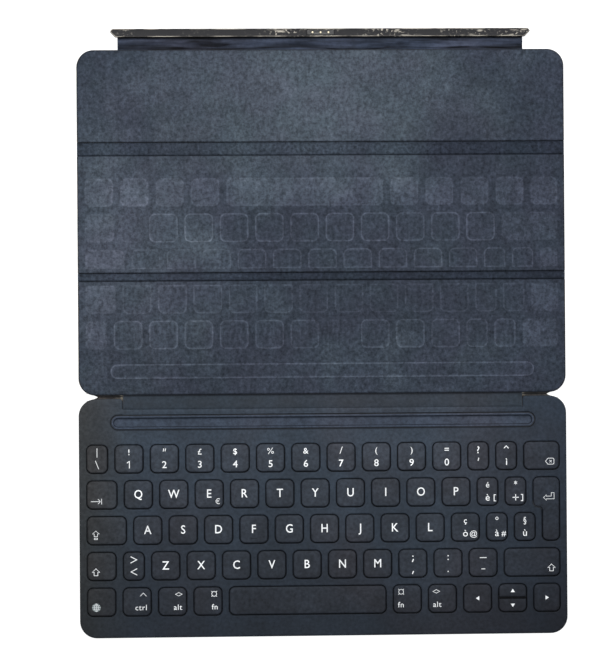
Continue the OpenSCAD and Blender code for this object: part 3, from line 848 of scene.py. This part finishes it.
def mirrored(corners):
    """Where an outline on the deck presses on the lining when the case is closed."""
    return [(x, 2 * fold_y - y, r) for x, y, r in corners][::-1]


def strength(k):
    """How clearly a key shows in the lining, and how much of it is rubbed pale all over."""
    r, x = k["row"], k["x"]
    fade = 0.7 + 0.3 * rng.random()
    if r == 4:
        return 0.4 * fade, 0.4
    if k["x0"] < -half_width + 6 or k["x1"] > half_width - 6:
        return 0.25, 0.42 * fade
    if r == 3:
        return (0.95 if x > -90 else 0.2) * fade, 0.0
    if r == 2:
        return (0.8 if x > -40 else 0.4) * fade, 0.0
    if r == 1:
        return 0.6 * fade, 0.0
    return (0.05 if -2 < x < 14 else 0.9) * fade, 0.05


prints = []
for k in keys:
    if k["node"] == "key_arrow_down":
        continue
    corners = arrow_place if k["node"] == "key_arrow_up" else k["corners"]
    clear, rubbed = strength(k)
    prints.append((mirrored(corners), clear, rubbed))
prints.append((mirrored(rail_corners), 1.0, 0.0))


def clip(corners, y0, y1):
    """Corners cut to a stretch of Y, or nothing where little is left."""
    ys = [y for _, y, _ in corners]
    if max(ys) < y0 + 2.5 or min(ys) > y1 - 2.5:
        return None
    out = []
    for x, y, r in corners:
        cut = min(max(y, y0), y1)
        out.append((x, cut, r if cut == y else 0.4))
    bent = []
    for i, here in enumerate(out):
        before, after = out[i - 1], out[(i + 1) % len(out)]
        apart = [abs(here[0] - q[0]) + abs(here[1] - q[1]) > 0.01 for q in (before, after)]
        straight = before[0] == here[0] == after[0] or before[1] == here[1] == after[1]
        if all(apart) and not straight:
            bent.append(here)
    if len(bent) < 4 or max(q[1] for q in bent) - min(q[1] for q in bent) <= 2:
        return None
    return bent


def side_wear(x, y):
    """The skin is rubbed pale along the cover's two sides, most at the left."""
    return smooth((abs(x) - half_width + 3) / 2) * (1.0 if x < 0 else 0.35)


def lining_height(x, y):
    return cover_top + wander(x, y, 11, 0.05, 3) + wander(x, y, 3.5, 0.018, 5)


# Inset at an outer edge, inset at a fold, height
LINING = [(0.24, 0.0, 1.72), (0.2, 0.0, 1.82), (0.24, 0.06, 1.96), (0.42, 0.22, 2.08),
          (0.75, 0.5, 2.165), (1.2, 0.85, 2.2), (1.4, 1.05, 2.2)]
SKIN = [(1.1, 0.0, 0.0), (0.95, 0.0, 0.0), (0.55, 0.0, 0.05), (0.22, 0.0, 0.22),
        (0.05, 0.0, 0.5), (0.0, 0.0, 0.8), (0.0, 0.0, 1.5), (0.08, 0.0, 1.63),
        (0.22, 0.0, 1.69), (0.7, 0.4, 1.69), (0.7, 0.4, 0.35)]
# Grow and rise of the lining prints, the rise also being the mark: pale rubbed nap on the outline,
# a slight painted shade in the dip outside it
PRINT = [(0.9, -0.12), (0.42, 0.0), (0.2, 0.7), (0.0, 1.0), (-0.25, 0.7), (-0.55, 0.15),
         (-1.2, 0.0)]
panels = {"lower": (lower_lo.y, lower_hi.y, corner_radius, None),
          "middle": (middle_lo.y, middle_hi.y, None, None),
          "upper": (upper_lo.y, upper_hi.y, None, corner_radius)}
for name, (y0, y1, front_r, back_r) in panels.items():
    corners = box_corners(-half_width, y0, half_width, y1, front_r or 0.35, back_r or 0.35)

    def panel_ring(edge, cut):
        front, back_ = (edge if front_r else cut), (edge if back_r else cut)
        return outline(corners, [-front, -edge, -back_, -edge], 12)

    lining = Surface()
    # The lining's edge, where it rounds down to the skin, is darkened: painted shade
    rings = [lining.ring(panel_ring(e, c), z, -0.6 if z < 2.1 else -0.1 if z < 2.18 else 0.0)
             for e, c, z in LINING[:-1]]
    rings.append(lining.ring(panel_ring(*LINING[-1][:2]), lining_height))
    lining.loft(rings)
    holes = []
    margin = 1.7
    for made, clear, rubbed in prints:
        cut = clip(made, y0 + margin + 0.6, y1 - margin - 0.6)
        if not cut:
            continue
        prints_rings = [lining.ring(outline(cut, g),
                                    lambda x, y, h=h: lining_height(x, y) + 0.09 * clear * h,
                                    clear * h + (rubbed if g < 0 else 0))
                        for g, h in PRINT]
        lining.loft(prints_rings)
        lining.fill(prints_rings[-1], spacing=3.2, z=lining_height, mark=rubbed)
        holes.append(prints_rings[0])
    lining.fill(rings[-1], holes, spacing=3.2, z=lining_height)
    lining.fill(rings[0], down=True)
    lining.make(f"{name.capitalize()}_lining", f"{name}_panel", looks["lining"], "microfibre",
                [f"{name}_panel_lining"])

    skin = Surface()
    rings = [skin.ring(panel_ring(e, c), z, side_wear if z > 0.7 and e < 0.5 else 0.0)
             for e, c, z in SKIN]
    skin.solid(rings)
    skin.make(f"{name.capitalize()}_skin", f"{name}_panel", looks["skin"], "woven_skin",
              [f"{name}_panel_skin"])


# ---- Folds: closed bands, in loops across X that follow one another along Y

def band(name, x0, x1, ys, top, bottom, look, slot, bodies, nodes=(), edge=0.5, blend=None,
         step=3.0, side=lambda y: (0.0, 0.0), mark=lambda x, y: 0.0):
    """A soft band between two heights, top(x, y) and bottom(y), with rounded side edges."""
    s = Surface()
    loops = []
    count = max(8, int((x1 - x0) / step))
    for y in ys:
        low, inset = bottom(y), side(y)
        xs = np.linspace(x0 + inset[0] + edge, x1 - inset[1] - edge, count)
        loop = []
        for x in xs:
            loop.append(s.add(x, y, low, 2.0))
        for which in (1, -1):
            end = x1 - inset[1] if which > 0 else x0 + inset[0]
            edge_top = top(end - which * edge, y)
            mid, half = (low + edge_top) / 2, (edge_top - low) / 2
            for a in np.linspace(-80, 80, 9):
                c, sn = math.cos(math.radians(a)), math.sin(math.radians(a))
                bulge = edge * (abs(c) ** 0.6)
                loop.append(s.add(end - which * (edge - bulge), y, mid + which * half * sn,
                                  0.6 if abs(sn) > 0.5 else 0.3))
            if which > 0:
                for x in reversed(xs):
                    loop.append(s.add(x, y, top(x, y), mark(x, y)))
        loops.append(loop)
    for a, b in zip(loops, loops[1:]):
        s.strip(a, b)
    for loop in (loops[0], loops[-1]):
        n = len(xs)
        lowers, right = loop[:n], loop[n:n + 9]
        uppers, left = loop[n + 9:2 * n + 9], loop[2 * n + 9:]
        for i in range(n - 1):
            s.faces.append((lowers[i], lowers[i + 1], uppers[n - 2 - i], uppers[n - 1 - i]))
        s.faces.append((lowers[-1], *right, uppers[0]))
        s.faces.append((uppers[-1], *left, lowers[0]))
    return s.make(name, bodies[0], look, slot, nodes, blend=blend and (bodies[1], *blend))


def dip(y, y0, y1, width):
    """1 at either edge of a band, falling to 0 within width."""
    t = min(y - y0, y1 - y) / width
    return max(0.0, 1 - t) ** 2


# The fold bands are darkened at both edges: painted shade in the creases
for name, lo, hi, bodies in (("lower", lower_hi.y, middle_lo.y, ("lower_panel", "middle_panel")),
                             ("upper", middle_hi.y, upper_lo.y, ("middle_panel", "upper_panel"))):
    deep = 0.5 if name == "lower" else 0.42
    band(f"{name.capitalize()}_fold", -half_width, half_width,
         np.linspace(lo, hi, 22 if name == "lower" else 30),
         lambda x, y, lo=lo, hi=hi, deep=deep: 1.74 - deep * dip(y, lo, hi, 0.8)
         + wander(x, y, 6, 0.03, 7) + wander(x, y, 1.7, 0.015, 2),
         lambda y: 0.0, looks["fold"], "fold_fabric", bodies, [f"{name}_fold_band"],
         blend=(lo, hi), edge=0.45,
         mark=lambda x, y, lo=lo, hi=hi: -0.85 * dip(y, lo, hi, 1.6))


def fold_top(x, y):
    t = (y - core_back) / (lower_lo.y - core_back)
    return 3.02 - 1.3 * smooth(t) + wander(x, y, 8, 0.05, 4) - 0.12 * dip(y, core_back, 99, 0.5)


fold_ys = [*np.linspace(core_back, deck_hi.y, 12)[:-1], *np.linspace(deck_hi.y, lower_lo.y, 14)]
# The keyboard fold is darkened where it meets the lining: painted shade in the crease
band("Keyboard_fold", -tab_x, tab_x, fold_ys, fold_top, lambda y: 0.0, looks["band"],
     "fold_fabric", ("keyboard", "lower_panel"), ["keyboard_fold_band"],
     blend=(deck_hi.y, lower_lo.y), edge=0.5,
     mark=lambda x, y: -smooth((y - lower_lo.y + 1.1) / 0.9))

# The outer skin runs on beside the notches, thin, until the corners part in a sharp notch
WEB_END = 19.0
web_front, web_back = deck_hi.y - 1.2, lower_lo.y + 1.2


def notch(y):
    """How far the web stays back from its full length: most in the middle of the fold."""
    return 6.2 * (1 - abs(2 * (y - web_front) / (web_back - web_front) - 1) ** 1.4)


# Webs: paler near the panel edge where rubbed; darkened along the middle of the fold, painted shade
# in the crease
for way, name in ((-1, "left"), (1, "right")):
    web = sorted((way * (tab_x - 0.3), way * (tab_x + WEB_END)))
    band(f"Fold_web_{name}", *web, np.linspace(web_front, web_back, 22),
         lambda x, y: 1.1 + wander(x, y, 1.6, 0.2, 6), lambda y: 0.45, looks["web"],
         "fold_fabric", ("keyboard", "lower_panel"), edge=0.3, step=0.5,
         blend=(deck_hi.y, lower_lo.y),
         side=(lambda y: (notch(y), 0.0)) if way < 0 else (lambda y: (0.0, notch(y))),
         mark=lambda x, y: max(0.8 * smooth(1 - (abs(x) - tab_x) / 2.2), 0.12)
         - smooth(1 - abs(y - fold_y - 0.2) / 0.5))


def strip_top(x, y):
    t = (y - strip_lo.y) / (strip_hi.y - strip_lo.y)
    waves = wander(x, y * 5, 16, 0.55, 8) + wander(x, y * 3, 6, 0.16, 9)
    roll = 0.4 * math.exp(-((t - 0.6) / 0.2) ** 2)
    return 0.85 + roll + waves * math.sin(math.pi * min(t * 1.2, 1) * 0.9 + 0.2)


def strip_painted_shade(x, y):
    """Painted shadow against the bar and painted shade in a crease along the lining, in a line that
    wanders.
    """
    near_bar = smooth(1 - (shell_lo.y - y) / 1.5)
    line_y = upper_hi.y + 0.9 + wander(x, 0, 34, 2.6, 12)
    crease = smooth(1 - abs(y - line_y) / 0.9) * (0.5 + abs(wander(x, 0, 20, 1.5, 3)))
    return -max(near_bar, min(crease, 1.0))


band("Connector_strip", strip_lo.x, strip_hi.x, np.linspace(strip_lo.y, strip_hi.y, 30), strip_top,
     lambda y: 0.1, looks["strip"], "fold_fabric", ("upper_panel", "connector_bar"),
     ["connector_strip"], blend=(strip_lo.y, strip_hi.y), edge=0.5, step=1.2, mark=strip_painted_shade)


# ---- Connector bar

def bar_outline():
    """The bar seen from above: slanted ends, rounded corners."""
    x0, x1, y0, y1 = shell_lo.x, shell_hi.x, shell_lo.y, shell_hi.y
    slant, r = 2.6, 1.7
    points = [(x, y0) for x in np.linspace(x0 + slant + 0.5, x1 - slant - 0.5, 60)]
    points += [(x1 - slant + 0.15, y0 + 0.12)]
    points += [(x1 - slant * (1 - t), y0 + (y1 - y0 - r) * t) for t in (0.15, 0.4, 0.65, 0.88)]
    points += [(x1 - r + r * math.cos(a), y1 - r + r * math.sin(a))
               for a in np.linspace(0.05, math.pi / 2, 9)]
    points += [(x, y1) for x in np.linspace(x1 - r, x0 + r, 60)[1:-1]]
    points += [(x0 + r - r * math.sin(a), y1 - r + r * math.cos(a))
               for a in np.linspace(0, math.pi / 2 - 0.05, 9)]
    points += [(x0 + slant * (1 - t), y0 + (y1 - y0 - r) * t) for t in (0.88, 0.65, 0.4, 0.15)]
    points += [(x0 + slant - 0.15, y0 + 0.12)]
    return points


bar_points = bar_outline()
bar = Surface()
BAR = [(0.0, 0.5, 0), (0.0, 2.55, 0), (0.06, 2.8, 0.3), (0.18, 2.95, 0.9), (0.32, 3.0, 1.0),
       (0.46, 2.99, 0.7), (0.56, 2.9, 0), (0.66, 2.84, 0), (0.78, 2.83, 0)]
rings = [bar.ring(shrink(bar_points, i), z, m) for i, z, m in BAR]
bar.loft(rings)
carrier_corners = box_corners(carrier_lo.x, carrier_lo.y, carrier_hi.x, carrier_hi.y, 0.5)
pocket = [bar.ring(outline(carrier_corners, g, 4), z) for g, z in
          [(0.22, 2.83), (0.12, 2.79), (0.06, 2.7), (0.06, 0.5)]]
bar.loft(pocket)
bar.fill(rings[-1], [pocket[0]], spacing=3, z=lambda x, y: 2.83)
bar.fill(rings[0], [pocket[-1]], down=True)
bar.make("Bar_shell", "connector_bar", looks["bar"], "bar_plastic", ["connector_bar_shell"])
plate = Surface()
rings = [plate.ring(shrink(bar_points, i), z) for i, z in
         [(0.4, 0.0), (0.3, 0.0), (0.12, 0.05), (0.03, 0.2), (0.03, 0.42), (0.1, 0.48)]]
plate.solid(rings)
plate.make("Bar_back", "connector_bar", looks["bar_back"], "bar_plastic", ["connector_bar_back"])
carrier = Surface()
rings = [carrier.ring(outline(carrier_corners, -i, 4), z) for i, z in
         [(0, 0.5), (0, 2.8), (0.05, 2.93), (0.16, 2.99), (0.25, 3.0)]]
carrier.loft(rings)
pins = Surface()
wells = []
for n in (-1, 0, 1):
    x, y = n * (pins_hi.x - pins_lo.x - 1.2) / 2, (pins_lo.y + pins_hi.y) / 2
    well = [carrier.ring(circle(r, 24, x, y), z) for r, z in
            [(0.85, 3.0), (0.74, 2.97), (0.68, 2.88), (0.66, 2.4)]]
    carrier.loft(well)
    wells.append(well[0])
    carrier.fill(well[-1])
    pin = [pins.ring(circle(r, 24, x, y), z) for r, z in
           [(0.6, 2.42), (0.6, 2.92), (0.56, 3.0), (0.46, 3.05), (0.28, 3.08), (0.1, 3.09)]]
    pins.solid(pin)
carrier.fill(rings[-1], wells)
carrier.fill(rings[0], down=True)
carrier.make("Contact_carrier", "connector_bar", looks["carrier"], "carrier_plastic",
             ["contact_carrier"])
pins.make("Contact_pins", "connector_bar", looks["gold"], "contact_metal", ["contact_pins"])


# ---- Hidden parts keep their CAD shapes and get their materials

slot_look = {"key_fabric": "key", "woven_skin": "skin", "deck_fabric": "deck",
             "microfibre": "lining", "fold_fabric": "band", "rail_fabric": "rail",
             "bar_plastic": "bar", "carrier_plastic": "carrier", "contact_metal": "gold"}
for subpart in frame["record"]["subparts"]:
    o = frame["nodes"][subpart["node"]]
    slot = subpart["material_slot"]
    o.data.materials.clear()
    o.data.materials.append(looks[slot_look.get(slot, slot)])


# ---- Floor, light, camera

floor_mesh = bpy.data.meshes.new("Floor")
floor_mesh.from_pydata([(x, y, -0.00002) for x, y in ((-4, -4), (4, -4), (4, 4), (-4, 4))], [],
                       [(0, 1, 2, 3)])
floor = bpy.data.objects.new("Floor", floor_mesh)
bpy.context.scene.collection.objects.link(floor)
paper = Look("Floor_paper", Roughness=0.9, Specular_IOR_Level=0.0, Base_Color=(0.3, 0.3, 0.3, 1),
             Emission_Color=(1, 1, 1, 1), Emission_Strength=0.93)
floor_mesh.materials.append(paper.done())

world = bpy.data.worlds.new("World")
bpy.context.scene.world = world
world.use_nodes = True
world.node_tree.nodes["Background"].inputs[0].default_value = (0.93, 0.97, 1.0, 1)
world.node_tree.nodes["Background"].inputs[1].default_value = 0.4


def softbox(name, place, aim, size, power, tint=(1, 1, 1)):
    light = bpy.data.lights.new(name, "AREA")
    light.shape, light.size, light.size_y = "RECTANGLE", *size
    light.energy, light.color = power, tint
    o = bpy.data.objects.new(name, light)
    bpy.context.scene.collection.objects.link(o)
    o.location = place
    o.rotation_euler = (Vector(aim) - Vector(place)).to_track_quat("-Z", "Y").to_euler()


softbox("Key_light", (-0.03, 0.34, 0.42), (0, 0.0, 0), (0.7, 0.3), 3.4, (1, 0.99, 0.97))
softbox("Fill_light", (0.0, -0.1, 1.3), (0, 0, 0), (1.2, 1.0), 5.5, (0.98, 0.99, 1))

# The camera stands a little to the left and looks back across, down onto the open case
CAMERA = Vector((-0.0581, 0.00084, 1.3))
LEAN, ROLL = math.radians(-2.173), math.radians(-0.411)
camera_data = bpy.data.cameras.new("Camera")
camera_data.sensor_width = 36
camera_data.lens = 137.1
camera = bpy.data.objects.new("Camera", camera_data)
bpy.context.scene.collection.objects.link(camera)
camera.matrix_world = (Matrix.Translation(CAMERA) @ Matrix.Rotation(LEAN, 4, "Y")
                       @ Matrix.Rotation(ROLL, 4, "Z"))
bpy.context.scene.camera = camera
bpy.context.scene.view_settings.view_transform = "Standard"
